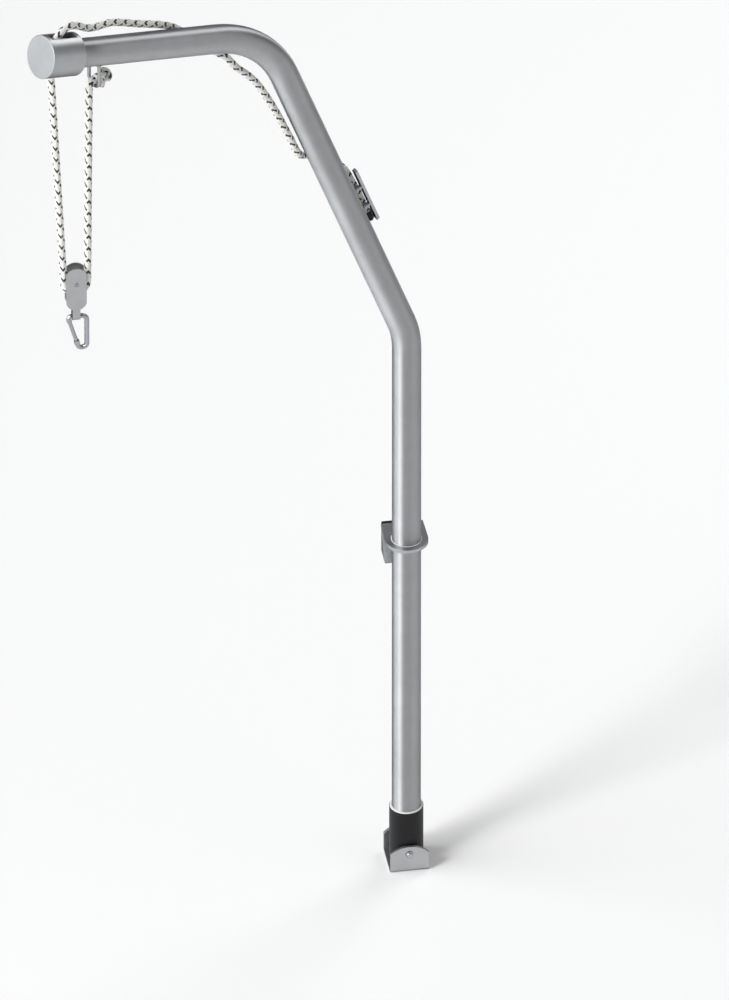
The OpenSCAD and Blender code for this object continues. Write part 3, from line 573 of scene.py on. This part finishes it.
def make_knot():
    """The stopper knot behind the eye, and the rope's tail out of it."""
    ball, _ = make_rope("rope_knot_strands", knot_line(), radius=KNOT_ROPE_R, ends=False, closed=True)
    finish_piece(ball, "mast", "rope", "rope_knot")
    tail_points = [arm_point(*(at + step for at, step in zip(KNOT_PLACE, offset)))
                   for offset in KNOT_TAIL]
    tail, _ = make_rope("rope_knot_tail", smooth_line(tail_points, ROPE_STEP), radius=KNOT_ROPE_R)
    finish_piece(tail, "mast", "rope")
    return ball, tail


def make_falls():
    """The turn on the eye, the two falls and the rope under the block."""
    gate_side = block_point + SHEAVE_ROPE_R * BLOCK_OUT
    back_side = block_point - SHEAVE_ROPE_R * BLOCK_OUT
    turn_middle = knot_point - TURN_R * REACH
    turn = arc_line(turn_middle, TURN_R, TURN_ANGLE, 0, ROPE_STEP)
    standing = even_line([knot_point, back_side], ROPE_STEP)
    under = arc_line(block_point, SHEAVE_ROPE_R, 180, 360, ROPE_STEP, BLOCK_OUT)
    hauling = even_line([gate_side, hang_point], ROPE_STEP)

    before = 0.0
    turn_piece, across = make_rope("rope_over_eye", turn, before)
    finish_piece(turn_piece, "mast", "rope")
    before += line_length(turn)

    standing_piece, across = make_rope("rope_standing", standing, before, across)
    finish_piece(standing_piece, "falls", "rope", "rope_fall_standing")
    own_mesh(standing_piece)
    make_knot()
    before += line_length(standing)

    under_piece, across = make_rope("rope_under_block", under, before, across)
    finish_piece(under_piece, "block", "rope", "rope_bight")
    before += line_length(under)

    hauling_piece, across = make_rope("rope_hauling", hauling, before, across)
    finish_piece(hauling_piece, "falls", "rope", "rope_fall_hauling")
    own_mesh(hauling_piece)
    return before + line_length(hauling), across


def make_lead(before, across):
    """The rope over the head's sheave and along the mast to the cleat, with its end whipped."""
    line = smooth_line([arm_point(*p) for p in ROPE_ROUTE], ROPE_STEP)
    piece, _ = make_rope("rope_along_mast", line, before, across)
    finish_piece(piece, "mast", "rope", "rope_lead")
    count = int(WHIPPING_LENGTH / ROPE_STEP)
    end = line[-count:]
    ripple = WHIPPING_RIPPLE * np.abs(np.sin(np.linspace(0, np.pi * WHIPPING_TURNS, count)))
    radii = np.tile((WHIPPING_R + ripple)[:, None], (1, WHIPPING_SIDES))
    whipping, _ = make_tube("rope_whipping", end, radii, np.linspace(0, 1, count))
    finish_piece(whipping, "mast", "nylon_black")


# Weld beads where a bar meets the tube
WELD_STEPS = 160
WELD_SIDES = 14
WELD_RIPPLES = 30
WELD_RIPPLE = 0.18      # share of the bead's radius that the ripples take

# The eye's two legs
EYE_OUT = 0.626
EYE_BAR_R = 0.003
EYE_LEG_SIDE = 0.014
EYE_BEAD_R = 0.0015

# The cleat's two posts: how far they stand up the slope from the knee, how far apart, and how
# far the lower face of the cleat's bar is from the tube's centre line
CLEAT_UP = 0.318
CLEAT_POST_R = 0.004
CLEAT_POST_GAP = 0.044
CLEAT_UNDER = 0.03695
CLEAT_BEAD_R = 0.0012

# Two points of the tube's centre line: the arm's end, and the corner of the knee
ARM_END = (0.7313, 0, 1.90258)
KNEE = (0, 0, 1.064)


def weld_bead(name, body, foot, direction, bar_r, axis_point, axis, bead_r):
    """A rippled bead round a bar of radius bar_r, along the line where it meets the tube."""
    direction, axis = direction.normalized(), axis.normalized()
    first = axis.cross(direction).normalized()
    second = direction.cross(first)
    points = []
    for t in np.linspace(0, 2 * math.pi, WELD_STEPS, endpoint=False):
        start = foot + bar_r * (math.cos(t) * first + math.sin(t) * second)
        offset = start - axis_point
        across = offset - offset.dot(axis) * axis
        step = direction - direction.dot(axis) * axis
        a, b = step.dot(step), across.dot(step)
        c = across.dot(across) - MAST_R ** 2
        distance = (-b - math.sqrt(max(0, b * b - a * c))) / a
        points.append(tuple(start + distance * direction))
    line = np.array(points)
    waves = np.abs(np.sin(np.linspace(0, math.pi * WELD_RIPPLES, WELD_STEPS, endpoint=False)))
    radii = np.tile((bead_r * (1 - WELD_RIPPLE * (1 - waves)))[:, None], (1, WELD_SIDES))
    piece, _ = make_tube(name, line, radii, np.arange(WELD_STEPS) / WELD_STEPS, closed=True)
    return finish_piece(piece, body, "steel_small", material=weld_steel)


def make_welds():
    """The beads at the eye's two legs and at the cleat's two posts."""
    for number, side in enumerate((-1, 1), 1):
        foot = arm_point(EYE_OUT, side * EYE_LEG_SIDE, KNOT_PLACE[2])
        weld_bead(f"eye_weld_{number}", "mast", foot, UP, EYE_BAR_R,
                  arm_point(*ARM_END), leaning(ARM_LEAN), EYE_BEAD_R)
    slope = leaning(SLOPE_LEAN)
    away = -leaning(SLOPE_LEAN + math.pi / 2)
    for number, side in enumerate((-1, 1), 1):
        middle = arm_point(*KNEE) + (CLEAT_UP + side * CLEAT_POST_GAP / 2) * slope
        weld_bead(f"cleat_weld_{number}", "mast", middle + CLEAT_UNDER * away, -away,
                  CLEAT_POST_R, middle, slope, CLEAT_BEAD_R)


# Floor, light and world
FLOOR_HALF = 40.0       # half of the floor's width
FLOOR_COLOR = (0.955, 0.952, 0.944)

# The even light's way, its spread in degrees and its strength
KEY_SUN = ((-0.72, -0.42, 0.62), 14, 0.92)

# Round lamps: the place, what it is aimed at, its width, and its power in watts
LAMPS = {
    "low_key": ((-3.8, -1.9, 1.1), (-0.2, 0, 0.9), 0.8, 18),
    "high_key": ((-3.4, -2.6, 3.6), (-0.2, 0, 1.2), 1.0, 34),
    "rear": ((2.6, 2.6, 4.4), (-0.3, 0, 1.6), 2.4, 56),
}

# Soft boxes of the room's walls: the way to each, its level, and the cosines of its soft edge
SOFT_BOXES = [
    ((-0.93, -0.10, 0.35), 3.0, 0.74, 0.93),
    ((0.80, -0.55, 0.40), 0.5, 0.80, 0.97),
    ((0.0, 0.0, 1.0), 0.35, 0.55, 0.95),
]
WALL_LEVEL = 0.84       # level of the room's walls at the floor
WALL_FALL = 0.74        # how far it falls
WALL_TOP = 0.20         # sine of the height at which it has fallen
ROOM_COLOR = (0.97, 0.98, 1.0)


def make_floor():
    mesh = bpy.data.meshes.new("floor")
    corners = [(x * FLOOR_HALF, y * FLOOR_HALF, 0) for x, y in ((-1, -1), (1, -1), (1, 1), (-1, 1))]
    mesh.from_pydata(corners, [], [(0, 1, 2, 3)])
    floor = bpy.data.objects.new("floor", mesh)
    material, shader = new_material("floor", FLOOR_COLOR, 0.9)
    shader.inputs["Specular IOR Level"].default_value = 0.0
    mesh.materials.append(material)
    bpy.context.scene.collection.objects.link(floor)


def area_light(name, place, target, size, power):
    data = bpy.data.lights.new(name, "AREA")
    data.shape = "DISK"
    data.size = size
    data.energy = power
    light = bpy.data.objects.new(name, data)
    light.location = place
    aim = Vector(target) - Vector(place)
    light.rotation_mode = "QUATERNION"
    light.rotation_quaternion = aim.to_track_quat("-Z", "Y")
    bpy.context.scene.collection.objects.link(light)


def sun_light(name, way, spread, strength):
    """A broad even light that comes from the way given, with a spread in degrees."""
    data = bpy.data.lights.new(name, "SUN")
    data.angle = math.radians(spread)
    data.energy = strength
    light = bpy.data.objects.new(name, data)
    light.rotation_mode = "QUATERNION"
    light.rotation_quaternion = (-Vector(way)).to_track_quat("-Z", "Y")
    bpy.context.scene.collection.objects.link(light)


def make_world():
    """A room, pale at the floor and dimmer above, with soft boxes left, right and overhead."""
    world = bpy.data.worlds.new("room")
    world.use_nodes = True
    background = world.node_tree.nodes["Background"]
    direction = add(world, "ShaderNodeTexCoord").outputs["Generated"]
    height = add(world, "ShaderNodeSeparateXYZ", Vector=direction).outputs["Z"]
    level = calc(world, "SUBTRACT", WALL_LEVEL,
                 ramped(world, height, 0, WALL_TOP, WALL_FALL, "SMOOTHSTEP"))
    for way, strength, dark, bright in SOFT_BOXES:
        facing = vector_calc(world, "DOT_PRODUCT", direction, tuple(Vector(way).normalized()))
        level = calc(world, "ADD", ramped(world, facing, dark, bright, strength, "SMOOTHSTEP"), level)
    background.inputs["Color"].default_value = (*ROOM_COLOR, 1)
    fill(world, background, "Strength", level)
    bpy.context.scene.world = world


rope_before, rope_across = make_falls()
make_lead(rope_before, rope_across)
make_welds()
dress_cad_nodes()
make_floor()
make_world()
sun_light("key", *KEY_SUN)
for lamp, settings in LAMPS.items():
    area_light(lamp, *settings)

bpy.context.scene.view_settings.view_transform = "Standard"
